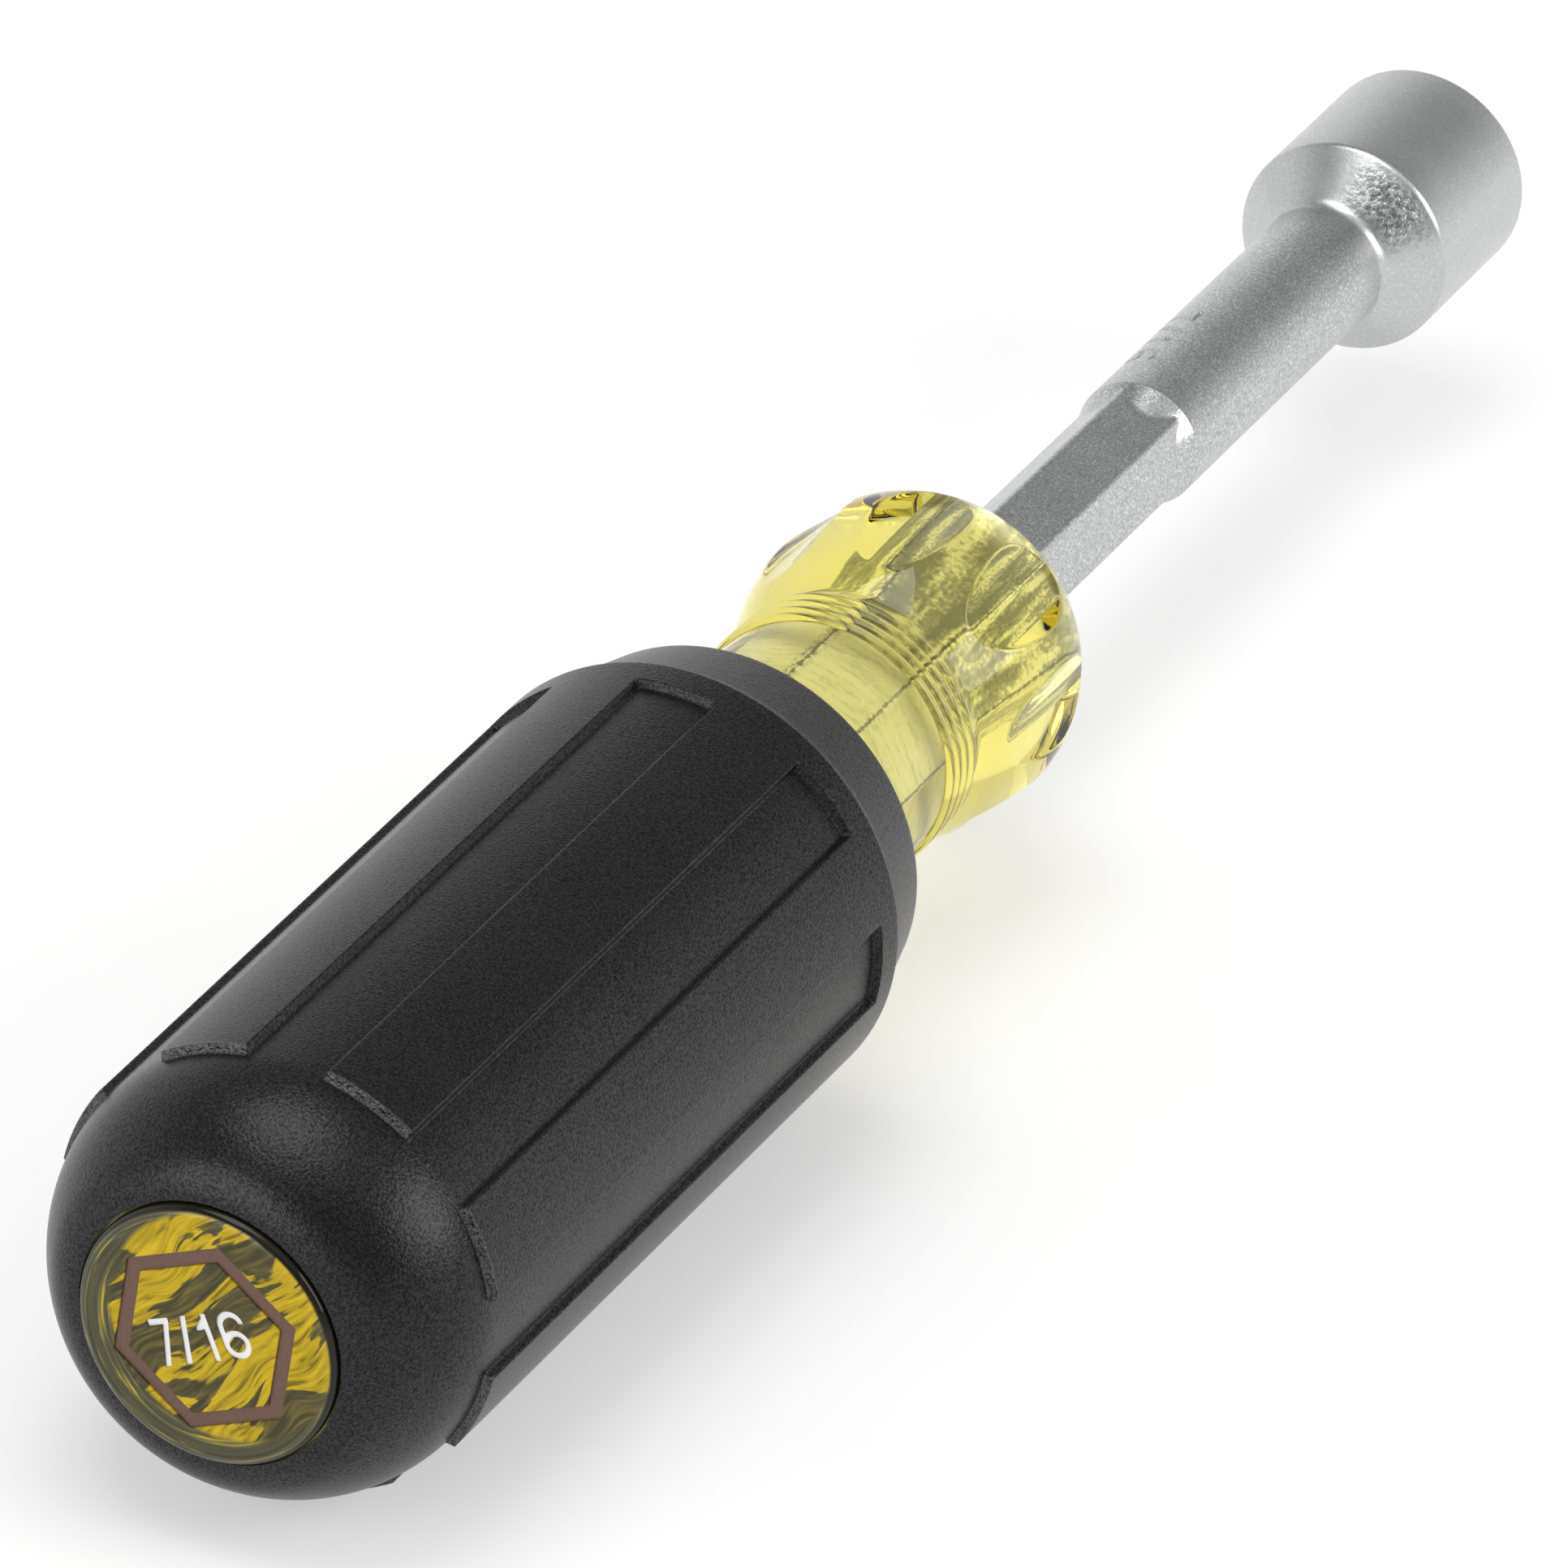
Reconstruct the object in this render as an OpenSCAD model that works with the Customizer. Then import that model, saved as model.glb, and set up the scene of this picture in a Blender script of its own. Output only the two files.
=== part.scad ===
// Nut driver, lying on its grip: a steel socket shaft moulded into a clear plastic handle core,
// a soft sleeve over the core, and two foil marks in the butt.
// Sizes are in millimetres. Stations along the tool are counted from the flat face of the butt.

/* [Shaft] */
// Length of the shaft in front of the handle
shaft_length = 76.2; // [74:0.1:82]
// Hexagon shank, across its flats
shank_flats = 7.94; // [7.6:0.01:8.2]
// Amount taken off across the corners of the hexagon shank
corner_cut = 0.17; // [0.1:0.01:0.3]
// Height of the round shank over the flats
shank_step = 0.78; // [0.7:0.01:0.95]
// Length of the hexagon shank in front of the handle
hex_length = 23.7; // [18:0.1:26]
// Length over which the flats run out into the round shank
runout_length = 3.3; // [2.5:0.1:4]
// Depth below the flats at which the run-out begins
runout_sink = 0.3; // [0.2:0.05:0.5]
// Roll of the shank's corners about the tool
shank_roll = 45; // [0:1:59]
// Length of the shaft buried in the handle
tang_length = 63.5; // [58:0.5:68]
// Width over the two forged ears of the buried end
ear_width = 13; // [11:0.5:14]
// Thickness of the ears
ear_thick = 2.6; // [2:0.1:3.2]
// Length of the ears
ear_length = 8; // [6:0.5:10]
// Distance from the buried end to the ears
ear_inset = 4; // [3:0.5:5]

/* [Socket] */
// Size of the nut across its flats
nut_flats = 11.11; // [10.8:0.01:11.5]
// Clearance of the hexagon around the nut, across the flats
nut_clearance = 0.09; // [0.05:0.01:0.2]
// Wall of the socket at the flats
socket_wall = 2.55; // [2.3:0.01:2.9]
// Length of the socket, mouth to the foot of its shoulder
socket_length = 14.25; // [13:0.05:16]
// Fillet between the shank and the shoulder
shoulder_fillet = 1.6; // [1:0.1:2]
// Rounding of the shoulder's outer edge
shoulder_round = 0.7; // [0.3:0.05:1]
// Rounding of the mouth's outer edge
mouth_round = 0.6; // [0.3:0.05:0.9]
// Depth of the hexagon
nut_depth = 10.5; // [9:0.1:11.5]
// Depth of the lead-in at the mouth
lead_in = 0.7; // [0.4:0.1:1]
// Wall of the round shank around the bolt clearance hole
shank_wall = 1.25; // [1.1:0.05:1.5]
// Length of the wider throat between the hexagon and the bolt clearance hole
throat_length = 7.2; // [6:0.1:8]
// Height of the step from the bolt clearance hole up to the throat
throat_step = 0.5; // [0.3:0.05:0.6]
// Solid length between the hexagon shank and the bolt clearance hole
bolt_hole_stop = 2.5; // [2:0.1:6]

/* [Handle core] */
// Length of the handle, butt to the front of the collar
handle_length = 109.5; // [108:0.1:114]
// Diameter of the butt
butt_dia = 18.4; // [18:0.1:18.8]
// Rounding of the butt's rim
butt_round = 0.7; // [0.4:0.05:1]
// Length of the butt section before the core widens
butt_length = 4; // [3.5:0.1:4.5]
// Diameter of the core under the sleeve
body_dia = 24.6; // [24:0.1:26]
// Number of keys that hold the sleeve against turning
key_count = 8; // [4:1:10]
// Diameter of the round groove for each key
key_dia = 4; // [3:0.1:5]
// Depth of the key grooves
key_depth = 1.2; // [0.8:0.1:1.5]
// Diameter of the neck
neck_dia = 18.9; // [18.6:0.1:19.4]

/* [Collar] */
// Largest diameter of the finger collar
collar_dia = 23.7; // [23.2:0.1:24.5]
// Diameter of the collar's flat front face
collar_face_dia = 11.8; // [11:0.1:13]
// Rounding of the collar's rear flank
collar_rear_round = 18; // [17:0.5:20]
// Rounding of the collar's front
collar_front_round = 10.4; // [10:0.1:11]
// Number of flutes in the collar
flute_count = 8; // [6:1:9]
// Depth of the flutes at the middle of the collar
flute_depth = 0.95; // [0.7:0.05:1.05]
// Distance of the flutes' middle in front of the largest diameter
flute_shift = 0.2; // [0:0.1:0.6]
// Rounding across a flute
flute_round = 10.3; // [8:0.1:12]
// Rounding along a flute
flute_sweep = 70; // [60:1:90]
// Number of fine rings behind the collar
ring_count = 4; // [2:1:4]
// Spacing of the rings
ring_pitch = 1.05; // [0.9:0.05:1.1]
// Rounding of each ring
ring_round = 0.55; // [0.4:0.05:0.6]
// Height of the rings over the neck
ring_rise = 0.35; // [0.2:0.05:0.4]
// Distance from the collar's largest diameter back to the first ring
ring_set = 13.25; // [13:0.05:13.6]

/* [Sleeve] */
// Wall of the sleeve at the tongues' rear ledge
wall_rear = 3.57; // [3.4:0.01:3.8]
// Wall of the sleeve at the front of the tongues
wall_front = 3.87; // [3.7:0.01:4.1]
// Number of tongues
tongue_count = 8; // [6:1:9]
// Width of a tongue, in degrees
tongue_angle = 24.5; // [20:0.5:28]
// Height of the tongues over the grooves
groove_depth = 0.58; // [0.4:0.02:0.8]
// Station of the tongues' rear ledge
tongue_start = 9.5; // [9:0.1:10]
// Length of the grooves in front of that ledge
groove_length = 53.4; // [48:0.1:56]
// Length of the plain ring in front of the grooves
land_length = 2.5; // [2:0.1:4]
// Length of the tapered front band
band_length = 7; // [5:0.1:9]
// Drop from the ring to the rear of the front band
band_drop = 0.42; // [0.3:0.01:0.5]
// Drop from the ring to the front rim
rim_drop = 1.97; // [1.6:0.01:2.3]
// Distance from the tongues' rear ledge to the start of the dome
dome_offset = 0.7; // [0.5:0.05:1]
// Rounding of the rear dome
dome_round = 12; // [11.6:0.1:12.4]
// Tighter rounding of the dome towards the butt
dome_edge_round = 4.7; // [4.4:0.1:5]
// Distance by which the butt stands out of the dome
butt_stand_out = 0.65; // [0.5:0.05:0.8]
// Gap around the butt
butt_gap = 0.15; // [0.1:0.05:0.3]
// Chamfer on the sleeve's edges
edge_chamfer = 0.3; // [0.15:0.05:0.4]

/* [Marks] */
// Distance from the stamped hexagon's corners to the rim of the butt
mark_margin = 2.2; // [1.8:0.1:2.6]
// Width of the hexagon's line
mark_line = 1.05; // [0.8:0.05:1.2]
// Roll of the marks about the tool
mark_roll = 5.8; // [0:0.1:59]
// Depth of the stamped marks
mark_depth = 0.3; // [0.25:0.05:0.4]
// Thickness of the foil in the marks
foil_thick = 0.15; // [0.1:0.01:0.2]
// Height of the size number
digit_height = 3.4; // [3.1:0.05:3.5]
// Width of a wide digit
digit_width = 2.05; // [1.9:0.05:2.15]
// Width of the size number's strokes
digit_stroke = 0.5; // [0.4:0.02:0.54]

/* [Hidden] */
$fn = 96;
eps = 0.01;
over = 1;
tool_length = handle_length + shaft_length;
tang_start = handle_length - tang_length;
corner_dia = shank_flats / cos(30);
shank_r = shank_flats / 2 + shank_step;
runout_start = handle_length + hex_length;
runout_end = runout_start + runout_length;
nut_span = nut_flats + nut_clearance;
nut_dia = nut_span / cos(30);
socket_r = nut_span / 2 + socket_wall;
shoulder_foot = tool_length - socket_length;
shoulder_top = shoulder_foot - (socket_r - shank_r);
bolt_hole_r = shank_r - shank_wall;
bolt_hole_end = runout_end + bolt_hole_stop;
butt_r = butt_dia / 2;
body_r = body_dia / 2;
neck_r = neck_dia / 2;
groove_end = tongue_start + groove_length;
tongue_end = groove_end + land_length;
grip_end = tongue_end + band_length;
body_end = groove_end;
collar_r = collar_dia / 2;
collar_front_mid_r = collar_r - collar_front_round;
collar_set = sqrt(pow(collar_front_round, 2) - pow(collar_face_dia / 2 - collar_front_mid_r, 2));
collar_mid = handle_length - collar_set;
ring_first = collar_mid - ring_set;
flute_reach = ring_set - (ring_count - 1) * ring_pitch - ring_round;
flute_swing = 2 * asin(flute_reach / flute_sweep);
front_r = body_r + wall_front;
rear_r = body_r + wall_rear;
groove_rear_r = rear_r - groove_depth;
groove_front_r = front_r - groove_depth;
dome_front = tongue_start + dome_offset;
dome_turn = asin((dome_front - dome_edge_round - butt_stand_out) / (dome_round - dome_edge_round));
mark_corners = butt_dia - 2 * mark_margin;
mark_turn = mark_roll - 120;
axis_height = front_r;

// Which part to draw

// Lays a part built upwards from the butt along X, resting on the plane z = 0.
module lay_down() {
    translate([-tool_length / 2, 0, axis_height])
        rotate([0, 90, 0])
            children();
}

// Hexagon bar with its corners rounded off, between two stations.
module hex_bar(from, to) {
    intersection() {
        translate([0, 0, from])
            rotate(shank_roll)
                cylinder(d = corner_dia, h = to - from, $fn = 6);
        translate([0, 0, from])
            cylinder(d = corner_dia - corner_cut, h = to - from);
    }
}

// The part of the shaft that lies inside the handle.
module tang() {
    hex_bar(tang_start, handle_length);
    translate([0, 0, tang_start + ear_inset + ear_length / 2])
        rotate(shank_roll)
            cube([ear_width, ear_thick, ear_length], center = true);
}

// Half section of the round shank, shoulder and socket.
module shaft_section() {
    difference() {
        union() {
            polygon([
                [0, runout_start],
                [shank_flats / 2 - runout_sink, runout_start],
                [shank_r, runout_end],
                [shank_r, shoulder_top],
                [socket_r, shoulder_foot],
                [socket_r, tool_length],
                [0, tool_length]
            ]);
            shoulder_fillet_section();
        }
        shoulder_edge_section();
        mouth_edge_section();
    }
}

// Material that fills the inner corner between shank and shoulder.
module shoulder_fillet_section() {
    reach = shoulder_fillet * tan(22.5);
    difference() {
        polygon([
            [shank_r - eps, shoulder_top - reach],
            [shank_r, shoulder_top - reach],
            [shank_r + reach * cos(45), shoulder_top + reach * cos(45)],
            [shank_r - eps, shoulder_top + reach * cos(45)]
        ]);
        translate([shank_r + shoulder_fillet, shoulder_top - reach])
            circle(r = shoulder_fillet);
    }
}

// Material taken off the outer corner of the shoulder.
module shoulder_edge_section() {
    reach = shoulder_round * tan(22.5);
    difference() {
        polygon([
            [socket_r - reach * cos(45), shoulder_foot - reach * cos(45)],
            [socket_r + over, shoulder_foot - reach * cos(45)],
            [socket_r + over, shoulder_foot + reach],
            [socket_r - shoulder_round, shoulder_foot + reach]
        ]);
        translate([socket_r - shoulder_round, shoulder_foot + reach])
            circle(r = shoulder_round);
    }
}

// Material taken off the outer corner of the mouth.
module mouth_edge_section() {
    difference() {
        translate([socket_r - mouth_round, tool_length - mouth_round])
            square(mouth_round + over);
        translate([socket_r - mouth_round, tool_length - mouth_round])
            circle(r = mouth_round);
    }
}

// Hexagon for the nut, its lead-in, and the throat and bolt clearance hole behind it.
module socket_hollow() {
    nut_floor = tool_length - nut_depth;
    throat_end = nut_floor - throat_length;
    translate([0, 0, nut_floor])
        rotate(30)
            cylinder(d = nut_dia, h = nut_depth + over, $fn = 6);
    translate([0, 0, tool_length - lead_in])
        cylinder(d1 = nut_flats, d2 = nut_dia + lead_in, h = lead_in + eps);
    translate([0, 0, throat_end])
        cylinder(r = bolt_hole_r + throat_step, h = throat_length + over);
    translate([0, 0, bolt_hole_end])
        cylinder(r = bolt_hole_r, h = throat_end - bolt_hole_end + over);
    translate([0, 0, bolt_hole_end - bolt_hole_r / 2])
        cylinder(r1 = 0, r2 = bolt_hole_r, h = bolt_hole_r / 2);
}

// Steel shaft in one piece: buried tang, hexagon shank, round shank and socket.
module socket_shaft() {
    color("silver")
        lay_down()
            difference() {
                union() {
                    tang();
                    hex_bar(handle_length, runout_end);
                    rotate_extrude()
                        shaft_section();
                }
                socket_hollow();
            }
}

// Half section of the core from the butt to the neck.
module core_section() {
    widen = body_r - butt_r;
    narrow = body_r - neck_r;
    polygon([
        [0, 0],
        [butt_r - butt_round, 0],
        [butt_r - butt_round, butt_round],
        [butt_r, butt_round],
        [butt_r, butt_length],
        [body_r, butt_length + widen],
        [body_r, body_end],
        [neck_r, body_end + narrow],
        [neck_r, collar_mid],
        [0, collar_mid]
    ]);
    translate([butt_r - butt_round, butt_round])
        circle(r = butt_round);
}

// Half section of the finger collar and of the rings behind it.
module collar_section() {
    intersection() {
        translate([collar_r - collar_rear_round, collar_mid])
            circle(r = collar_rear_round);
        translate([0, ring_first])
            square([collar_dia, collar_mid - ring_first]);
    }
    intersection() {
        translate([collar_front_mid_r, collar_mid])
            circle(r = collar_front_round);
        translate([0, collar_mid])
            square([collar_dia, handle_length - collar_mid]);
    }
    for (i = [0 : ring_count - 1])
        translate([neck_r + ring_rise - ring_round, ring_first + i * ring_pitch])
            circle(r = ring_round);
}

// Cutter for one long oval flute on the side of the collar.
module flute_cutter() {
    translate([collar_r - flute_depth - flute_sweep, 0, collar_mid + flute_shift])
        rotate([90, 0, 0])
            rotate(-flute_swing / 2)
                rotate_extrude(angle = flute_swing)
                    translate([flute_sweep + flute_round, 0])
                        circle(r = flute_round);
}

// Core from the butt to the neck, with the key grooves that the sleeve fills.
module core_body() {
    difference() {
        rotate_extrude()
            core_section();
        for (i = [0 : key_count - 1])
            rotate(i * 360 / key_count)
                translate([body_r - key_depth + key_dia / 2, 0, butt_length])
                    cylinder(d = key_dia, h = body_end + body_r - neck_r - butt_length);
    }
}

// Clear plastic core: butt, keyed body, neck, rings and fluted finger collar.
module handle_core() {
    color("gold", 0.6)
        lay_down()
            difference() {
                union() {
                    core_body();
                    difference() {
                        rotate_extrude()
                            collar_section();
                        for (i = [0 : flute_count - 1])
                            rotate(i * 360 / flute_count)
                                flute_cutter();
                    }
                }
                tang();
                mark_cut(mark_depth)
                    hexagon_line();
                mark_cut(mark_depth)
                    size_digits();
            }
}

// Half section of the sleeve at the level of its grooves, with the dome and the front band.
module groove_section() {
    dome_mid_r = groove_rear_r - dome_round;
    edge_shift = dome_round - dome_edge_round;
    edge_mid = [dome_mid_r + edge_shift * cos(dome_turn), dome_front - edge_shift * sin(dome_turn)];
    reach = 2 * dome_round;
    rim_r = front_r - rim_drop;
    intersection() {
        translate([dome_mid_r, dome_front])
            circle(r = dome_round);
        polygon([
            [dome_mid_r, dome_front],
            [dome_mid_r + reach * cos(dome_turn), dome_front - reach * sin(dome_turn)],
            [dome_mid_r + reach, dome_front]
        ]);
    }
    translate(edge_mid)
        circle(r = dome_edge_round);
    polygon([
        [0, edge_mid[1]],
        edge_mid,
        [dome_mid_r, dome_front],
        [groove_rear_r, dome_front],
        [groove_front_r, groove_end],
        [groove_front_r, tongue_end - edge_chamfer],
        [front_r - band_drop, tongue_end],
        [rim_r, grip_end - edge_chamfer],
        [rim_r - edge_chamfer, grip_end],
        [0, grip_end]
    ]);
}

// Half section of the sleeve at the level of its tongues.
module tongue_section() {
    polygon([
        [body_r, tongue_start],
        [rear_r - edge_chamfer, tongue_start],
        [rear_r, tongue_start + edge_chamfer],
        [front_r, tongue_end - edge_chamfer / 2],
        [front_r - edge_chamfer / 2, tongue_end],
        [body_r, tongue_end]
    ]);
}

// Where the tongues stand: a sector for each, and all round in front of the grooves.
module tongue_sectors() {
    half = tongue_angle / 2;
    outer = front_r + over;
    for (i = [0 : tongue_count - 1])
        rotate((i + 0.5) * 360 / tongue_count)
            linear_extrude(height = groove_end + eps)
                polygon([
                    [body_r * cos(half), -body_r * sin(half)],
                    [outer * cos(half), -outer * sin(half)],
                    [outer * cos(half), outer * sin(half)],
                    [body_r * cos(half), body_r * sin(half)]
                ]);
    translate([0, 0, groove_end])
        cylinder(r = outer, h = land_length + over);
}

// Soft sleeve: domed rear end, alternating tongues and grooves, and a tapered front band.
module cushion_grip() {
    color("dimgray")
        lay_down()
            difference() {
                union() {
                    rotate_extrude()
                        groove_section();
                    intersection() {
                        rotate_extrude()
                            tongue_section();
                        tongue_sectors();
                    }
                }
                core_body();
                cylinder(r = butt_r + butt_gap, h = butt_length);
            }
}

// Turns a flat mark, drawn as it is read from behind, onto the butt and cuts it in.
module mark_cut(depth) {
    rotate(mark_turn)
        mirror([0, 1, 0])
            translate([0, 0, -eps])
                linear_extrude(height = depth + eps)
                    children();
}

// Lays the foil of a flat mark on the floor of its recess.
module mark_foil() {
    rotate(mark_turn)
        mirror([0, 1, 0])
            translate([0, 0, mark_depth - foil_thick])
                linear_extrude(height = foil_thick)
                    children();
}

// Outline of the hexagon mark.
module hexagon_line() {
    difference() {
        circle(d = mark_corners, $fn = 6);
        circle(d = mark_corners - 2 * mark_line / cos(30), $fn = 6);
    }
}

// Straight stroke between two points, cut off level at its ends.
module slanted_stroke(foot, head) {
    polygon([
        [foot[0] - digit_stroke / 2, foot[1]],
        [foot[0] + digit_stroke / 2, foot[1]],
        [head[0] + digit_stroke / 2, head[1]],
        [head[0] - digit_stroke / 2, head[1]]
    ]);
}

module digit_seven() {
    top = digit_height / 2;
    span = 0.8 * digit_width;
    translate([0, top - digit_stroke])
        square([span, digit_stroke]);
    slanted_stroke([0.2 * digit_width, -top], [span - digit_stroke / 2, top - digit_stroke / 2]);
}

module digit_bar() {
    lean = 0.18 * digit_width;
    slanted_stroke([-lean, -digit_height / 2], [lean, digit_height / 2]);
}

module digit_one() {
    top = digit_height / 2;
    flag_tip = -digit_stroke / 2 - 0.29 * digit_width;
    slanted_stroke([0, -top], [0, top]);
    polygon([
        [flag_tip, top - 2.4 * digit_stroke],
        [0, top - 2.2 * digit_stroke],
        [0, top - 0.1 * digit_stroke],
        [flag_tip, top - 1.9 * digit_stroke]
    ]);
}

module digit_six() {
    bowl = digit_width / 2;
    middle = digit_height / 2 - bowl;
    translate([bowl, -middle])
        round_stroke(bowl);
    translate([0, -middle])
        square([digit_stroke, 2 * middle]);
    intersection() {
        translate([bowl, middle])
            round_stroke(bowl);
        translate([0, middle - eps])
            square([digit_width, bowl + over]);
    }
}

// Round stroke with the given outer radius.
module round_stroke(outer) {
    difference() {
        circle(r = outer);
        circle(r = outer - digit_stroke);
    }
}

// The plain size number, seven sixteenths.
module size_digits() {
    translate([-1.87 * digit_width, 0])
        digit_seven();
    translate([-0.7 * digit_width, 0])
        digit_bar();
    translate([0.21 * digit_width, 0])
        digit_one();
    translate([0.6 * digit_width, 0])
        digit_six();
}

// Foil in the hexagon mark.
module size_hexagon() {
    color("saddlebrown")
        lay_down()
            mark_foil()
                hexagon_line();
}

// Foil in the size number.
module size_number() {
    color("white")
        lay_down()
            mark_foil()
                size_digits();
}

socket_shaft();
handle_core();
cushion_grip();
size_hexagon();
size_number();
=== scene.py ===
"""Looks of the nut driver. Stations run along the tool from the butt, in millimetres."""
import math

import bpy
import numpy as np
from mathutils import Matrix, Vector
from mathutils.geometry import delaunay_2d_cdt


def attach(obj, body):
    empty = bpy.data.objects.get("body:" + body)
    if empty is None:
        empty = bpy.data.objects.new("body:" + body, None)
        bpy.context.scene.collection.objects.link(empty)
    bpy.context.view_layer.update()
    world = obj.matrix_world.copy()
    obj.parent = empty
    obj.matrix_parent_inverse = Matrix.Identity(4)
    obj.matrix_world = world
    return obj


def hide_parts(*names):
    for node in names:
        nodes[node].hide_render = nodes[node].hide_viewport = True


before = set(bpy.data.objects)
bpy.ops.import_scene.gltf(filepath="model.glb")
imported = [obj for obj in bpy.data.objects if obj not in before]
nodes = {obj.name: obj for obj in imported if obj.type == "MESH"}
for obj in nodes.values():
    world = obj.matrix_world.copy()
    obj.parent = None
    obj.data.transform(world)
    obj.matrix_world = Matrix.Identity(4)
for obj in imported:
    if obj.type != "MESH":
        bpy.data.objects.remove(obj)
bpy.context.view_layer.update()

MM = 0.001
TOOL_LENGTH = 185.7
AXIS_HEIGHT = 16.17
COLUMNS = 480  # around the core and the shaft

# Sizes of the sleeve
REAR_R, FRONT_R, STEP = 15.87, 16.17, 0.58
REAR_END, DOME_END, DOME_R, LIP_R = 0.65, 10.2, 12.0, 4.7
MOUTH_R, BODY_BORE_R, FRONT_BORE_R = 9.35, 12.35, 9.5
TONGUES, HALF_TONGUE = 8, math.radians(12.25)
TONGUE_START, GROOVE_END, SLEEVE_END = 9.5, 62.9, 72.4
SEAM_START, SEAM_ANGLE = 29.85, math.radians(243 - 360)

# Sizes of the clear core
CORE_BACK, HIDDEN_END, HANDLE_END = 2.6, 72.2, 109.5
NECK_R, FACE_R = 9.45, 5.2
RINGS, RING_START, RING_PITCH, RING_MID_R, RING_R = 4, 86.85, 1.05, 9.25, 0.55
COLLAR_MID, COLLAR_R, REAR_ARC, FRONT_ARC = 100.1, 11.85, 18, 10.4
FLUTES, FLUTE_START, FLUTE_MID, FLUTE_DEPTH = 8, 91.5, 100.3, 0.95
FLUTE_R, FLUTE_SWEEP, FLUTE_PASSES = 10.3, 70, 8
NECK_SOFT, FLUTE_SOFT = 0.1, 0.07

# Sizes of the butt and its stamped marks
BUTT_R, BUTT_EDGE, BUTT_BACK, BUTT_BORE_R, BUTT_COLUMNS = 9.2, 0.7, 2.5, 0.5, 192
MARK_R, MARK_WIDTH, MARK_DEPTH = 7.0, 1.05, 0.3
MARK_TURN = math.radians(5.8 - 120)
DIGIT_H, DIGIT_W, STROKE = 3.4, 2.05, 0.5

# Sizes of the shaft
TANG_START, HEX_END, ROUND_START = 46.0, 132.6, 136.5
HEX_ACROSS, HEX_CORNER, HEX_EDGE_R = 7.94, math.radians(45), 4.5
HEX_SOFT, RUN_SOFT = 0.06, 0.12
SHANK_R, SOCKET_R, SHOULDER_TOP, SHOULDER_FOOT = 4.75, 8.15, 168.05, 171.45
FILLET_R, SHOULDER_EDGE_R, MOUTH_EDGE_R = 1.6, 0.7, 0.6
NUT_ACROSS, NUT_CORNER, NUT_END = 11.2, math.radians(30), 175.2
LEAD_START, LEAD_R, LEAD_MOUTH_R = 185.0, 5.555, 6.82
THROAT_R, THROAT_END, BOLT_R, BOLT_END, BOLT_TIP = 4.0, 168.0, 3.5, 139.0, 137.25

# The window with the stamped number: first and last station, first and last angle
STAMP = (139.5, 150.0, math.radians(119.25), math.radians(174.75))
STAMP_ROWS, STAMP_COLUMNS = 141, 75
STAMP_LEFT, STAMP_FOOT, STAMP_DEPTH = 148.6, math.radians(129), 0.12


# Mesh helpers


def station(z):
    """The X of a station in the part's frame, in metres."""
    return (z - TOOL_LENGTH / 2) * MM


def place(z, r, phi):
    """Points at station z, radius r and angle phi (0 is down), in the part's frame in metres."""
    z, r, phi = np.broadcast_arrays(z, r, phi)
    x = z - TOOL_LENGTH / 2
    y = r * np.sin(phi)
    up = AXIS_HEIGHT - r * np.cos(phi)
    return np.stack([x, y, up], -1) * MM


def new_piece(name, verts, faces, material, smooth=True):
    mesh = bpy.data.meshes.new(name)
    mesh.from_pydata([tuple(v) for v in verts], [], [tuple(f) for f in faces])
    mesh.update()
    mesh.materials.append(material)
    mesh.polygons.foreach_set("use_smooth", [smooth] * len(mesh.polygons))
    piece = bpy.data.objects.new(name, mesh)
    bpy.context.scene.collection.objects.link(piece)
    return piece


def turned(name, z, r, phi, material, tips=(None, None), closed=True, left_out=None):
    """A surface around the axis: z and r hold one row per station and one column per angle.
    tips are the stations of end points on the axis, or None where the end stays open.
    left_out, as first and last station and first and last angle, stays open on the round shank."""
    rows, cols = r.shape
    verts = place(z, r, phi[None, :]).reshape(-1, 3)
    i = np.arange(rows - 1)[:, None] * cols
    j = np.arange(cols if closed else cols - 1)[None, :]
    k = (j + 1) % cols
    quads = np.stack([i + j, i + k, i + cols + k, i + cols + j], -1)
    if left_out:
        from_z, to_z, from_phi, to_phi = left_out
        mid_z = (z[:-1, :1] + z[1:, :1]) / 2
        mid_phi = phi[None, :] + math.pi / cols
        within = (mid_z > from_z) & (mid_z < to_z) & (mid_phi > from_phi) & (mid_phi < to_phi)
        window = within & (r[:-1] == SHANK_R) & (r[1:] == SHANK_R)
        quads = quads[~window]
    faces = [tuple(q) for q in quads.reshape(-1, 4).tolist()]
    verts = verts.tolist()
    for end, tip in enumerate(tips):
        if tip is None:
            continue
        verts.append(place(np.array(tip), np.array(0.0), np.array(0.0)).tolist())
        top = len(verts) - 1
        base = 0 if end == 0 else (rows - 1) * cols
        for c in range(cols):
            n = (c + 1) % cols
            faces.append((base + n, base + c, top) if end == 0 else (base + c, base + n, top))
    return new_piece(name, verts, faces, material)


def second_look(piece, material, end):
    """Gives the faces behind a station another material."""
    piece.data.materials.append(material)
    limit = station(end)
    for poly in piece.data.polygons:
        if poly.center.x < limit:
            poly.material_index = 1


def spread(*spans):
    """Rising stations from (start, end, step) spans."""
    out = []
    for a, b, step in spans:
        n = max(1, int(math.ceil((b - a) / step - 1e-9)))
        out.extend(np.linspace(a, b, n, endpoint=False))
    out.append(spans[-1][1])
    return np.array(out)


def full_turn():
    return np.linspace(0, 2 * math.pi, COLUMNS, endpoint=False)


def all_round(values, cols):
    """One value per row, repeated over the columns."""
    return np.repeat(np.asarray(values, float)[:, None], cols, 1)


def ramp(a, b, x):
    t = np.clip((x - a) / (b - a), 0, 1)
    return t * t * (3 - 2 * t)


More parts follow.
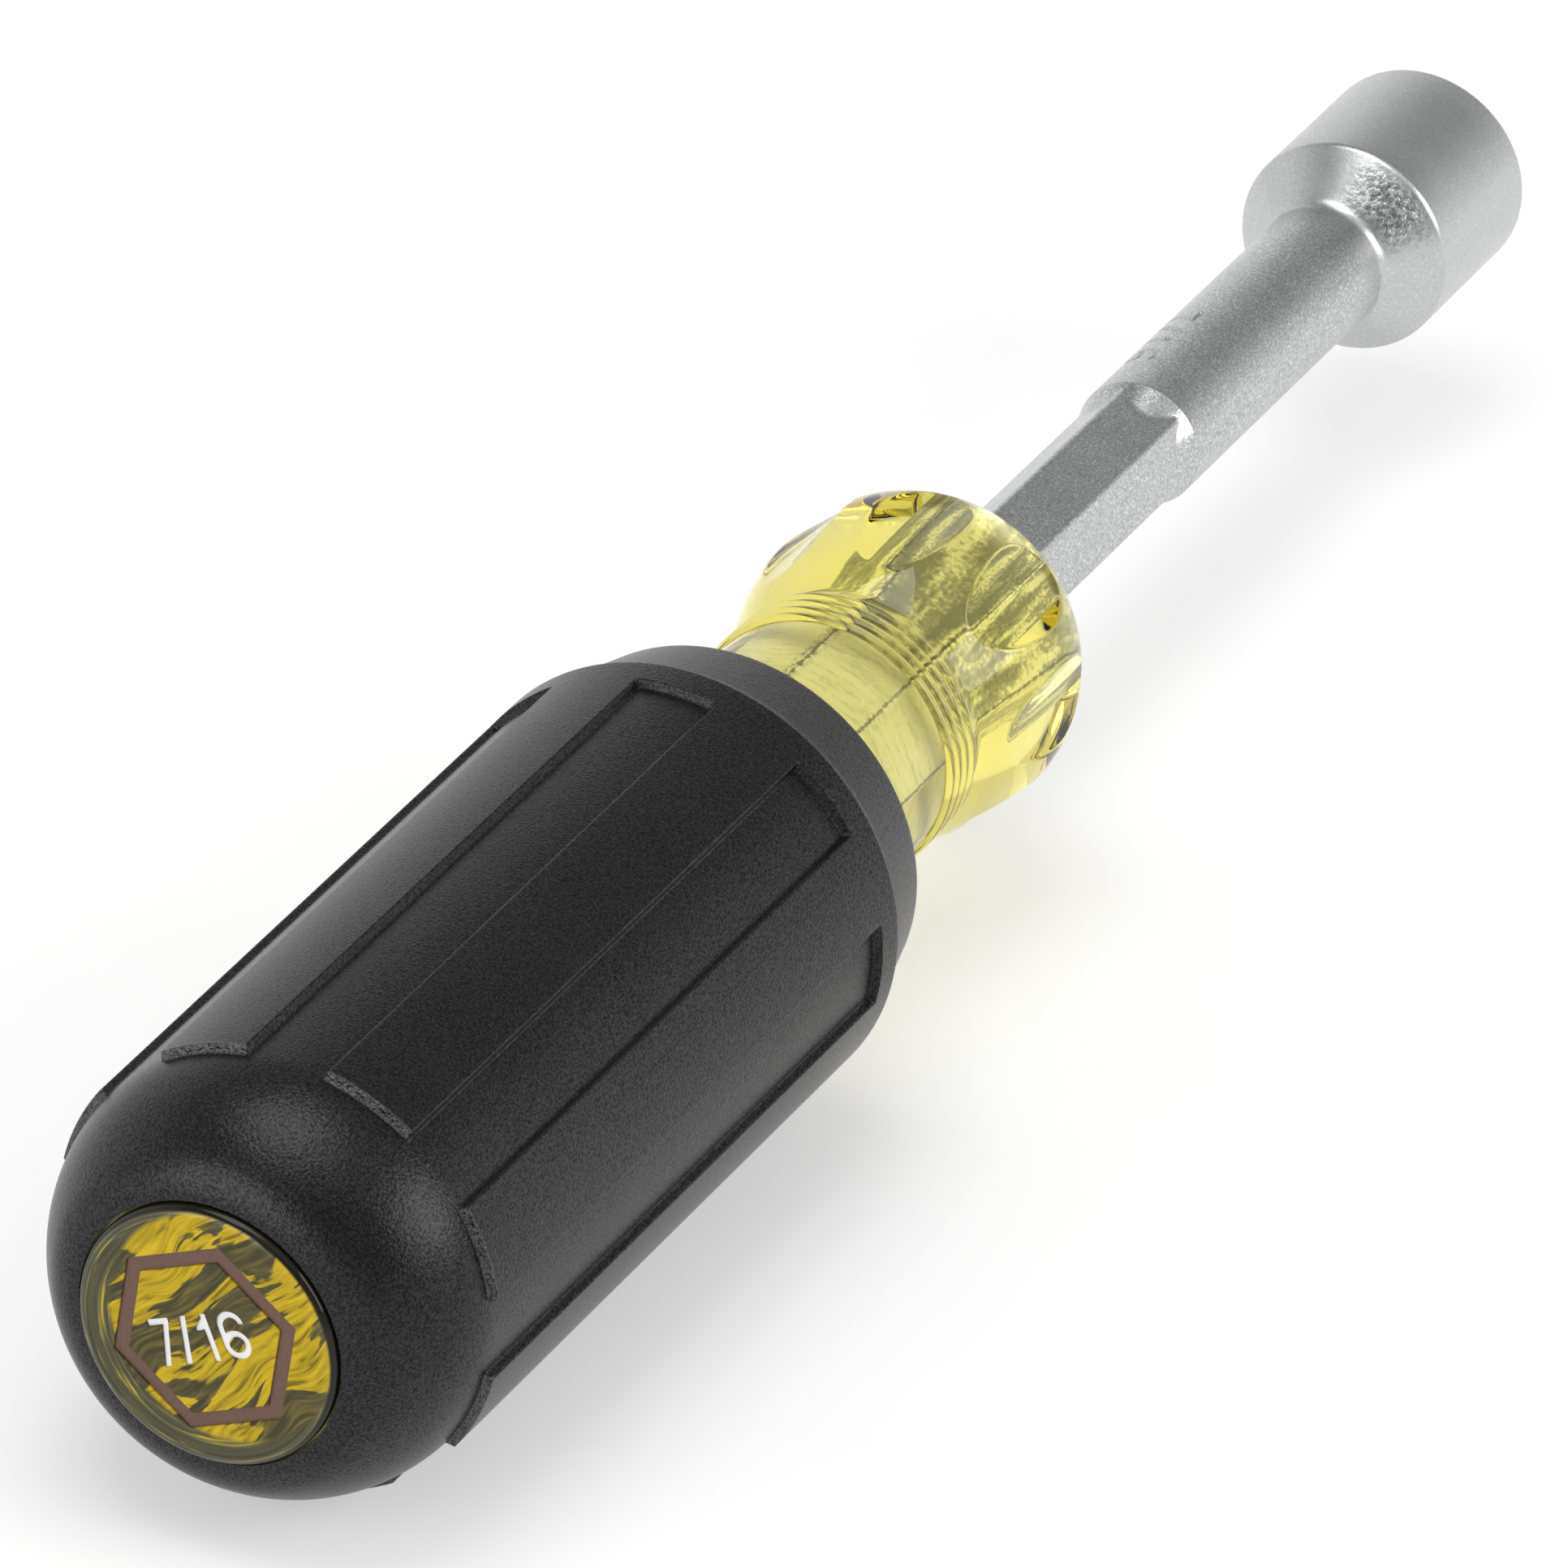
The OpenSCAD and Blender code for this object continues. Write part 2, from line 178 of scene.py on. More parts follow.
def soft_min(a, b, k):
    h = np.clip(0.5 + 0.5 * (b - a) / k, 0, 1)
    return b * (1 - h) + a * h - k * h * (1 - h)


def soft_max(a, b, k):
    return -soft_min(-a, -b, k)


def bow(radius, offset):
    """Height of a circle over its middle, at an offset from it."""
    return np.sqrt(np.maximum(radius**2 - offset**2, 0))


# Materials


class Nodes:
    """A material's node tree, with short calls for the nodes used here."""

    def __init__(self, name):
        self.material = bpy.data.materials.new(name)
        self.material.use_nodes = True
        self.tree = self.material.node_tree
        self.tree.nodes.clear()
        self.out = self.tree.nodes.new("ShaderNodeOutputMaterial")
        self.where = self.tree.nodes.new("ShaderNodeTexCoord").outputs["Object"]

    def add(self, kind, links=None, **values):
        node = self.tree.nodes.new(kind)
        for key, value in values.items():
            setattr(node, key, value)
        for key, value in (links or {}).items():
            socket = node.inputs[key]
            if isinstance(value, bpy.types.NodeSocket):
                self.tree.links.new(value, socket)
            else:
                socket.default_value = value
        return node

    def noise(self, scale, detail=2.0, rough=0.5, distortion=0.0, where=None):
        return self.add(
            "ShaderNodeTexNoise",
            {
                "Vector": where or self.where,
                "Scale": scale,
                "Detail": detail,
                "Roughness": rough,
                "Distortion": distortion,
            },
        ).outputs["Fac"]

    def ramp(self, fac, *stops):
        node = self.add("ShaderNodeValToRGB", {"Fac": fac})
        marks = node.color_ramp.elements
        while len(marks) < len(stops):
            marks.new(0.5)
        for mark, (at, colour) in zip(marks, stops):
            mark.position = at
            mark.color = (*colour, 1.0)
        return node.outputs["Color"]

    def range(self, value, lo, hi, to_lo, to_hi):
        return self.add(
            "ShaderNodeMapRange",
            {"Value": value, "From Min": lo, "From Max": hi, "To Min": to_lo, "To Max": to_hi},
        ).outputs["Result"]

    def fade(self, value, lo, hi):
        """1 up to lo, falling to 0 at hi."""
        return self.range(value, lo, hi, 1.0, 0.0)

    def math(self, what, a, b=0.0):
        return self.add("ShaderNodeMath", {0: a, 1: b}, operation=what).outputs["Value"]

    def times(self, a, b):
        return self.math("MULTIPLY", a, b)

    def plus(self, a, b):
        return self.math("ADD", a, b)

    def minus(self, a, b):
        return self.math("SUBTRACT", a, b)

    def gap(self, a, b):
        return self.math("ABSOLUTE", self.minus(a, b))

    def vector(self, what, *inputs):
        links = dict(enumerate(inputs))
        return self.add("ShaderNodeVectorMath", links, operation=what).outputs

    def mapped(self, where, **values):
        return self.add("ShaderNodeMapping", {"Vector": where, **values}).outputs["Vector"]

    def around(self):
        """The coordinates, and the angle about the tool's axis (0 is down)."""
        at = self.add("ShaderNodeSeparateXYZ", {"Vector": self.where}).outputs
        return at, self.math("ARCTAN2", at["Y"], self.minus(AXIS_HEIGHT * MM, at["Z"]))

    def mix(self, fac, a, b):
        """A mix of colours, whose sockets are inputs 0, 6 and 7 and output 2."""
        node = self.add("ShaderNodeMix", {0: fac, 6: a, 7: b}, data_type="RGBA")
        return node.outputs[2]

    def bump(self, height, strength, distance, normal=None):
        links = {"Height": height, "Strength": strength, "Distance": distance}
        if normal is not None:
            links["Normal"] = normal
        return self.add("ShaderNodeBump", links).outputs["Normal"]

    def principled(self, **links):
        named = {key.replace("_", " "): value for key, value in links.items()}
        node = self.add("ShaderNodeBsdfPrincipled", named)
        self.tree.links.new(node.outputs["BSDF"], self.out.inputs["Surface"])


def soft_black():
    """Grained rubber with a parting line, and torn lumps on the tongues' rear ends."""
    n = Nodes("soft_black")
    at, angle = n.around()
    grain = n.noise(5600, 2.0, 0.55)
    cells = n.add("ShaderNodeTexVoronoi", {"Vector": n.where, "Scale": 4600.0})
    broad = n.noise(160, 2.0)
    colour = n.ramp(broad, (0.3, (0.0045, 0.0045, 0.0047)), (0.7, (0.0065, 0.0065, 0.0068)))
    rough = n.range(grain, 0.3, 0.7, 0.22, 0.36)

    on_line = n.fade(n.gap(angle, SEAM_ANGLE), 0.0015, 0.004)
    seam = n.times(on_line, n.math("GREATER_THAN", at["X"], station(SEAM_START)))
    height = n.plus(grain, n.times(cells.outputs["Distance"], 0.6))
    normal = n.bump(height, 0.65, 0.00004, n.bump(seam, 0.6, 0.0001))

    # The half width of a ledge, as a share of the pitch
    half_ledge = 12.0 / 45
    turn = n.math("FRACT", n.math("DIVIDE", angle, 2 * math.pi / TONGUES))
    on_tongue = n.math("LESS_THAN", n.gap(turn, 0.5), half_ledge)
    ledge = n.times(n.fade(n.gap(at["X"], station(TONGUE_START)), 0.00012, 0.0002), on_tongue)
    torn = n.times(ledge, n.noise(3400, 2.0))
    normal = n.bump(torn, 0.9, 0.0002, normal)

    # The front band is duller than the grip, and the ledges are shinier
    gloss = n.range(at["X"], station(65.45), station(65.75), 0.31, 0.24)
    gloss = n.times(gloss, n.range(grain, 0.36, 0.64, 0.45, 1.55))
    gloss = n.times(gloss, n.range(ledge, 0.0, 1.0, 1.0, 2.6))
    n.principled(Base_Color=colour, Roughness=rough, Specular_IOR_Level=gloss, Normal=normal)
    return n.material


def satin_steel():
    """Speckled satin steel, plainer on the socket, with a rough patch on the shoulder."""
    n = Nodes("satin_steel")
    at, angle = n.around()
    speck = n.noise(5200, 2.0, 0.6)
    patch = n.noise(420, 3.0, 0.6)
    colour = n.ramp(
        speck,
        (0.33, (0.38, 0.39, 0.385)),
        (0.5, (0.52, 0.53, 0.525)),
        (0.6, (0.6, 0.61, 0.605)),
        (0.72, (0.85, 0.86, 0.855)),
    )
    most_plain = 0.65
    plain = n.range(at["X"], station(163.85), station(168.35), 0.0, most_plain)
    colour = n.mix(plain, colour, (0.56, 0.57, 0.565, 1.0))
    rough = n.range(patch, 0.3, 0.7, 0.28, 0.34)

    beside = n.fade(n.gap(angle, math.radians(218 - 360)), 0.2, 0.6)
    rough_zone = n.times(beside, n.fade(n.gap(at["X"], station(169.75)), 0.0008, 0.0016))
    pits = n.noise(2400, 3.0, 0.6)
    pitted = n.ramp(
        pits,
        (0.4, (0.2, 0.205, 0.205)),
        (0.5, (0.34, 0.35, 0.345)),
        (0.62, (0.6, 0.61, 0.605)),
    )
    colour = n.mix(rough_zone, colour, pitted)
    crinkle = n.bump(n.times(pits, rough_zone), 0.5, 0.0003)
    normal = n.bump(speck, n.range(plain, 0.0, most_plain, 0.5, 0.2), 0.00003, crinkle)
    n.principled(Base_Color=colour, Metallic=1.0, Roughness=rough, Normal=normal)
    return n.material


def bedded_steel():
    """The steel inside the clear core: scratched in the neck; in the collar, streaked with painted
    dark and light reflections of its facets.
    """
    n = Nodes("bedded_steel")
    at, angle = n.around()
    lines = n.mapped(n.where, Scale=(1.0, 6.0, 6.0))
    across = n.mapped(n.where, Scale=(5.0, 1.0, 1.0))
    scratch = n.noise(420, 3.0, 0.6, 0.0, across)
    flake = n.noise(3200, 2.0, 0.6)
    shade = n.plus(n.times(scratch, 0.65), n.times(flake, 0.35))
    colour = n.ramp(
        shade,
        (0.38, (0.76, 0.78, 0.72)),
        (0.5, (0.95, 0.96, 0.89)),
        (0.6, (1.0, 1.0, 0.95)),
    )
    dark = (0.08, 0.08, 0.065)
    # In the collar, dark and light streaks along the axis are painted reflections of the steel's
    # facets, flecked with grain
    streak = n.times(n.noise(130, 2.0, 0.6, 0.0, lines), 0.72)
    streak = n.plus(streak, n.times(flake, 0.28))
    painted_reflections = n.ramp(streak, (0.42, dark), (0.5, (0.3, 0.31, 0.25)), (0.58, (0.9, 0.9, 0.76)))
    in_collar = n.range(at["X"], station(89.85), station(94.85), 0.0, 0.75)
    colour = n.mix(in_collar, colour, painted_reflections)

    # Dark, ragged lines along the hexagon's corners, which lie where this fraction is a half
    turn = n.math("FRACT", n.minus(n.math("DIVIDE", angle, math.pi / 3), 0.25))
    ragged = n.plus(n.gap(turn, 0.5), n.times(n.minus(flake, 0.5), 0.08))
    colour = n.mix(n.range(ragged, 0.012, 0.026, 0.7, 0.0), colour, (*dark, 1.0))

    # A darker streak, in patches, along one facet
    dark_streak = n.range(n.gap(angle, math.radians(163)), 0.05, 0.13, 0.6, 0.0)
    dark_streak = n.times(dark_streak, n.fade(flake, 0.42, 0.58))
    colour = n.mix(dark_streak, colour, (0.12, 0.13, 0.12, 1.0))
    metal = n.range(at["X"], station(80.85), station(93.85), 0.1, 0.8)
    normal = n.bump(shade, 0.3, 0.00006)
    n.principled(Base_Color=colour, Metallic=metal, Roughness=0.25, Normal=normal)
    return n.material


def deep_amber():
    """The hidden rear of the core. Its glow stands for the light that a long core carries."""
    n = Nodes("deep_amber")
    drift = n.noise(120, 2.0)
    colour = n.ramp(drift, (0.3, (0.6, 0.64, 0.22)), (0.7, (0.75, 0.8, 0.32)))
    n.principled(Base_Color=colour, Roughness=0.6, Emission_Color=colour, Emission_Strength=0.5)
    return n.material


def clear_yellow():
    n = Nodes("clear_yellow")
    wave = n.noise(170, 2.0, 0.5)
    normal = n.bump(wave, 0.25, 0.0002)
    tint = n.ramp(wave, (0.3, (0.99, 0.965, 0.72)), (0.7, (0.995, 0.975, 0.77)))
    n.principled(
        Base_Color=tint,
        Roughness=0.015,
        IOR=1.48,
        Transmission_Weight=1.0,
        Normal=normal,
    )
    absorb = n.add(
        "ShaderNodeVolumeAbsorption", {"Color": (0.952, 0.885, 0.05, 1.0), "Density": 63.0}
    )
    n.tree.links.new(absorb.outputs["Volume"], n.out.inputs["Volume"])
    return n.material


# Places on the butt, in its radii, where the swirl turns darker (below 0) or more golden
SWIRL_LIFTS = (
    ((0.0, 0.1, 0.45), -0.11),
    ((0.0, 0.45, 0.7), 0.1),
    ((0.0, -0.6, -0.05), 0.08),
    ((0.0, -0.55, -0.75), -0.12),
)


def swirled_butt(name, gloss):
    """Dark and golden flames, with a dull margin, and painted shade on the rim's outer edge for
    the dark gap against the sleeve. spot counts in butt radii.
    """
    n = Nodes(name)
    unit = 1 / (BUTT_R * MM)
    spot = n.mapped(
        n.where, Location=(0.0, 0.0, -AXIS_HEIGHT / BUTT_R), Scale=(0.0, unit, unit)
    )
    drift = n.add("ShaderNodeTexNoise", {"Vector": spot, "Scale": 1.5, "Detail": 1.0})
    wavy = n.vector("MULTIPLY_ADD", drift.outputs["Color"], (0.0, 0.4, 0.4), spot)["Vector"]
    lean = n.mapped(wavy, Rotation=(math.radians(50), 0.0, 0.0))
    parts = n.add("ShaderNodeSeparateXYZ", {"Vector": lean}).outputs

    def drawn_out(along, across):
        links = {"Y": n.times(parts["Y"], along), "Z": n.times(parts["Z"], across)}
        return n.add("ShaderNodeCombineXYZ", links).outputs["Vector"]

    flame = n.noise(1.3, 3.0, 0.45, 0.6, drawn_out(0.9, 3.6))
    lines = n.noise(1.4, 2.0, 0.5, 0.6, drawn_out(2.0, 18.0))
    edge = n.plus(flame, n.times(n.minus(lines, 0.5), 0.16))
    for at, lift in SWIRL_LIFTS:
        near = n.vector("DISTANCE", spot, at)["Value"]
        edge = n.plus(edge, n.range(near, 0.1, 0.55, lift, 0.0))
    dark = n.ramp(
        lines,
        (0.36, (0.06, 0.053, 0.024)),
        (0.52, (0.1, 0.085, 0.034)),
        (0.68, (0.19, 0.15, 0.03)),
    )
    gold = n.ramp(
        lines,
        (0.33, (0.22, 0.15, 0.01)),
        (0.4, (0.42, 0.3, 0.012)),
        (0.55, (0.58, 0.4, 0.014)),
        (0.72, (0.7, 0.5, 0.02)),
    )
    swirl = n.mix(n.range(edge, 0.47, 0.495, 0.0, 1.0), dark, gold)

    ring = n.vector("LENGTH", spot)["Value"]
    away = n.vector("DISTANCE", spot, (0.0, -0.12, 0.12))["Value"]
    away = n.plus(away, n.times(n.noise(2.6, 2.0, 0.5, 0.0, spot), 0.06))
    links = {"X": n.times(ring, 30.0), "Y": n.times(n.noise(1.0, 1.0, 0.5, 0.0, spot), 3.0)}
    round_lines = n.add("ShaderNodeCombineXYZ", links).outputs["Vector"]
    margin = n.ramp(
        n.noise(1.0, 2.0, 0.5, 0.0, round_lines),
        (0.4, (0.065, 0.063, 0.038)),
        (0.54, (0.1, 0.095, 0.052)),
        (0.63, (0.24, 0.21, 0.06)),
        (0.7, (0.55, 0.4, 0.02)),
    )
    colour = n.mix(n.range(away, 0.88, 0.92, 0.0, 1.0), swirl, margin)
    # Painted shade: the rim's outer edge turns nearly black, standing in for the shaded gap
    # against the sleeve
    colour = n.mix(n.range(ring, 0.958, 0.972, 0.0, 1.0), colour, (0.01, 0.009, 0.004, 1.0))
    normal = n.bump(n.noise(150, 2.0), 0.08, 0.0001)
    n.principled(Base_Color=colour, Roughness=0.08, Specular_IOR_Level=gloss, Normal=normal)
    return n.material


def foil(name, dark, light):
    n = Nodes(name)
    grain = n.noise(6000, 2.0)
    colour = n.ramp(grain, (0.3, dark), (0.7, light))
    n.principled(Base_Color=colour, Roughness=n.range(grain, 0.3, 0.7, 0.4, 0.55))
    return n.material


grip_look = soft_black()
steel_look = satin_steel()
bedded_look = bedded_steel()
clear_look = clear_yellow()
amber_look = deep_amber()
butt_look = swirled_butt("swirled_butt", 0.14)
rim_look = swirled_butt("swirled_rim", 0.28)
brown_look = foil("brown_foil", (0.115, 0.057, 0.037), (0.152, 0.079, 0.053))
white_look = foil("white_foil", (0.92, 0.92, 0.93), (0.97, 0.97, 0.98))


# Sleeve


def sleeve_line():
    """Stations and radii of the grooves' floor, from the rear lip over the dome to the front."""
    dome_mid = REAR_R - STEP - DOME_R
    inset = DOME_R - LIP_R
    turn = math.asin((DOME_END - LIP_R - REAR_END) / inset)
    lip_z, lip_mid = DOME_END - inset * math.sin(turn), dome_mid + inset * math.cos(turn)
    t = np.linspace(math.acos((MOUTH_R - lip_mid) / LIP_R), turn, 16, endpoint=False)
    z = list(lip_z - LIP_R * np.sin(t))
    r = list(lip_mid + LIP_R * np.cos(t))
    t = np.linspace(turn, 0.1, 26, endpoint=False)
    z += list(DOME_END - DOME_R * np.sin(t))
    r += list(dome_mid + DOME_R * np.cos(t))
    body = spread(
        (9.03, 9.2, 0.1),
        (9.2, 9.95, 0.05),
        (9.95, 62.6, 1.25),
        (62.6, 63.2, 0.05),
        (63.2, 65.15, 0.5),
    )
    level = np.interp(body, [DOME_END, GROOVE_END], [REAR_R - STEP, FRONT_R - STEP])
    early = body < DOME_END
    level[early] = dome_mid + bow(DOME_R, body[early] - DOME_END)
    return np.array(z + list(body)), np.array(r + list(level))


def sleeve():
    z, r = sleeve_line()
    pitch = 2 * math.pi / TONGUES
    # Angles on each side of a tongue's edge: where columns lie close, and where it is rounded
    edge, close, soft = HALF_TONGUE, 0.024, 0.011
    half = np.concatenate([
        np.linspace(0, edge - close, 7, endpoint=False),
        np.linspace(edge - close, edge + close, 15, endpoint=False),
        np.linspace(edge + close, pitch / 2, 7),
    ])
    one = np.concatenate([-half[::-1][:-1], half[:-1]])
    phi = np.concatenate([one + pitch * (k + 0.5) for k in range(TONGUES)])
    off = np.abs(phi % pitch - pitch / 2)
    across = 1 - ramp(edge - soft, edge + soft, off)
    front = ramp(GROOVE_END - 0.16, GROOVE_END + 0.16, z)
    raised = 1 - (1 - across[None, :]) * (1 - front[:, None])
    raised = raised * ramp(TONGUE_START - 0.08, TONGUE_START + 0.1, z)[:, None]
    top = np.interp(z, [9.8, 65.25], [REAR_R, FRONT_R])
    radius = r[:, None] + np.where(z > 9.2, top - r, 0)[:, None] * raised

    # From the front ring over the tapered band, then back through the bore to the start
    ring = [
        (65.22, 16.168), (65.3, 16.155), (65.36, 16.12), (65.41, 16.05),
        (65.47, 15.93), (65.53, 15.81), (65.6, 15.72),
    ]
    band_z = [66.5, 68.0, 70.0, 71.6, 72.0]
    band = list(zip(band_z, np.interp(band_z, [65.6, 72.1], [15.70, 14.2])))
    front_edge = [(72.12, 14.19), (72.22, 14.16), (72.3, 14.1), (72.36, 14.01)]
    face = [(SLEEVE_END, 13.9), (SLEEVE_END, 13.0), (SLEEVE_END, FRONT_BORE_R)]
    bore = [
        (72.35, FRONT_BORE_R), (65.75, FRONT_BORE_R), (GROOVE_END, BODY_BORE_R),
        (7.1, BODY_BORE_R), (4.0, MOUTH_R), (3.9, MOUTH_R), (0.9, MOUTH_R),
    ]
    tail = np.array(ring + band + front_edge + face + bore + [(z[0], r[0])])
    z = np.concatenate([z, tail[:, 0]])
    radius = np.concatenate([radius, all_round(tail[:, 1], len(phi))])
    return turned("grip_sleeve", all_round(z, len(phi)), radius, phi, grip_look)


grip = sleeve()
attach(grip, "root")
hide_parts("cushion_grip")


# Clear core


def core_radius(z, phi):
    rear = COLLAR_R - REAR_ARC + bow(REAR_ARC, z - COLLAR_MID)
    front = COLLAR_R - FRONT_ARC + bow(FRONT_ARC, z - COLLAR_MID)
    land = np.where(z < COLLAR_MID, rear, front)
    land = soft_max(land, np.where(z < COLLAR_MID, NECK_R, 0.0), NECK_SOFT)
    for i in range(RINGS):
        mid = RING_START + RING_PITCH * i
        ring = RING_MID_R + bow(RING_R, z - mid)
        land = np.where(np.abs(z - mid) < RING_R, np.maximum(land, ring), land)
    pitch = 2 * math.pi / FLUTES
    off = (phi + pitch / 2) % pitch - pitch / 2
    mid_r = COLLAR_R - FLUTE_DEPTH - FLUTE_SWEEP
    # A flute's radius stands on both sides of its equation, so it is found in passes
    flute = np.full(np.broadcast(z, phi).shape, 11.0)
    for _ in range(FLUTE_PASSES):
        side = bow(FLUTE_R, flute * np.sin(off))
        reach = bow(FLUTE_SWEEP + FLUTE_R - side, z - FLUTE_MID)
        flute = (mid_r + reach) / np.cos(off)
    return np.where(z > FLUTE_START, soft_min(land, flute, FLUTE_SOFT), land)


def core():
    phi = full_turn()
    z = spread(
        (66.0, HIDDEN_END, 2.1),
        (HIDDEN_END, 85.8, 1.7),
        (85.8, 86.2, 0.1),
        (86.2, 90.7, 0.06),
        (90.7, 92.6, 0.1),
        (92.6, 104.0, 0.2),
        (104.0, HANDLE_END, 0.1),
    )
    r = core_radius(z[:, None], phi[None, :])
    # The rear of the core lies hidden, just inside the sleeve's bore
    hidden_z = [CORE_BACK, CORE_BACK, 4.0, 7.1, GROOVE_END, 65.75]
    hidden_r = [1.0, 9.2, 9.2, 12.3, 12.3, NECK_R]
    z = np.concatenate([hidden_z, z, [HANDLE_END]])
    r = np.concatenate([all_round(hidden_r, COLUMNS), r, all_round([FACE_R], COLUMNS)])
    tips = (CORE_BACK, HANDLE_END)
    piece = turned("clear_core", all_round(z, COLUMNS), r, phi, clear_look, tips)
    second_look(piece, amber_look, HIDDEN_END)
    return piece


clear = core()
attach(clear, "root")
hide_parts("handle_core")


# Butt with its stamped marks


def arc(cx, cy, r, a, b, n):
    t = np.radians(np.linspace(a, b, n))
    return [(cx + r * math.cos(v), cy + r * math.sin(v)) for v in t]


def moved(shape, dx):
    return [(x + dx, y) for x, y in shape]


def digit_outlines():
    """The outlines of 7, the bar, 1 and 6, and the hole in the 6."""
    top, w, s = DIGIT_H / 2, DIGIT_W, STROKE
    t = (2 * top - s) / (2 * top - s / 2)
    seven = [
        (0, top), (0, top - s), (0.2 * w - s / 2 + t * (0.6 * w - s / 2), top - s),
        (0.2 * w - s / 2, -top), (0.2 * w + s / 2, -top), (0.8 * w, top - s / 2), (0.8 * w, top),
    ]
    lean = 0.18 * w
    bar = [(-lean - s / 2, -top), (-lean + s / 2, -top), (lean + s / 2, top), (lean - s / 2, top)]
    flag = 0.29 * w
    part = flag / (s / 2 + flag)
    one = [
        (-s / 2, -top), (s / 2, -top), (s / 2, top), (-s / 2, top),
        (-s / 2, top - 1.9 * s + part * 1.8 * s), (-s / 2 - flag, top - 1.9 * s),
        (-s / 2 - flag, top - 2.4 * s), (-s / 2, top - 2.4 * s + part * 0.2 * s),
    ]
    bowl = w / 2
    m = top - bowl
    meet = math.degrees(math.acos(-(bowl - s) / bowl))
    six = arc(bowl, -m, bowl, 180, 360 + meet, 40)
    six += [(s, m)] + arc(bowl, m, bowl - s, 180, 0, 20)[1:]
    six += arc(bowl, m, bowl, 0, 180, 24)
    hole = arc(bowl, -m, bowl - s, 0, 360, 33)[:-1]
    digits = [moved(seven, -1.87 * w), moved(bar, -0.7 * w), moved(one, 0.21 * w)]
    return digits + [moved(six, 0.6 * w)], moved(hole, 0.6 * w)


def on_butt(shape):
    c, s = math.cos(MARK_TURN), math.sin(MARK_TURN)
    return [(c * u + s * w, s * u - c * w) for u, w in shape]


def inside(point, shape):
    x, y = point
    hit = False
    for (ax, ay), (bx, by) in zip(shape, shape[1:] + shape[:1]):
        if (ay > y) != (by > y) and x < (bx - ax) * (y - ay) / (by - ay) + ax:
            hit = not hit
    return hit


def butt():
    digits, hole = digit_outlines()
    digits, hole = [on_butt(d) for d in digits], on_butt(hole)
    outer = on_butt(arc(0, 0, MARK_R, 0, 300, 6))
    inner = on_butt(arc(0, 0, MARK_R - MARK_WIDTH / math.cos(math.pi / 6), 0, 300, 6))
    flat_r = BUTT_R - BUTT_EDGE
    rim = arc(0, 0, flat_r, 0, 360, BUTT_COLUMNS + 1)[:-1]
    loops = [rim, outer, inner, hole] + digits
    points, edges = [], []
    for loop in loops:
        first = len(points)
        points += loop
        edges += [(first + i, first + (i + 1) % len(loop)) for i in range(len(loop))]
    flat, _, tris, _, _, _ = delaunay_2d_cdt([Vector(p) for p in points], edges, [], 0, 1e-7)
    verts, faces = [], []

    def stamped(p):
        in_hexagon = inside(p, outer) and not inside(p, inner)
        return in_hexagon or (any(inside(p, d) for d in digits) and not inside(p, hole))

    def vert(x, y, z):
        verts.append((z - TOOL_LENGTH / 2, y, AXIS_HEIGHT - x))
        return len(verts) - 1

    face_at = [vert(p[0], p[1], 0.0) for p in flat]
    floor_at = [vert(p[0], p[1], MARK_DEPTH) for p in flat]
    for tri in tris:
        mid = (sum(flat[i][0] for i in tri) / 3, sum(flat[i][1] for i in tri) / 3)
        at = floor_at if stamped(mid) else face_at
        faces.append(tuple(at[i] for i in tri))
    for loop in loops[1:]:
        wall = [(vert(x, y, 0.0), vert(x, y, MARK_DEPTH)) for x, y in loop]
        for (a, b), (c, d) in zip(wall, wall[1:] + wall[:1]):
            faces.append((a, c, d, b))
    rows = [
        (flat_r + BUTT_EDGE * math.sin(t), BUTT_EDGE - BUTT_EDGE * math.cos(t))
        for t in np.linspace(0, math.pi / 2, 12)
    ]
    rows += [(BUTT_R, BUTT_BACK), (BUTT_BORE_R, BUTT_BACK)]
    turns = np.linspace(0, 2 * math.pi, BUTT_COLUMNS, endpoint=False)
    rings = [[vert(r * math.cos(a), r * math.sin(a), z) for a in turns] for r, z in rows]
    rim_start = len(faces)
    for a, b in zip(rings, rings[1:]):
        for i in range(BUTT_COLUMNS):
            k = (i + 1) % BUTT_COLUMNS
            faces.append((a[i], a[k], b[k], b[i]))
    piece = new_piece("butt_disc", np.array(verts) * MM, faces, butt_look)
    piece.data.materials.append(rim_look)
    for poly in piece.data.polygons[: len(tris)]:
        poly.use_smooth = False
    for poly in piece.data.polygons[rim_start:]:
        poly.material_index = 1
    return piece


disc = butt()
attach(disc, "root")
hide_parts("handle_core")

for name, look in (("size_hexagon", brown_look), ("size_number", white_look)):
    nodes[name].data.materials.clear()
    nodes[name].data.materials.append(look)


# Shaft


def hexagon(phi, across, corner):
    turn = (phi - corner + math.pi / 6) % (math.pi / 3) - math.pi / 6
    return across / 2 / np.cos(math.pi / 6 - np.abs(turn))


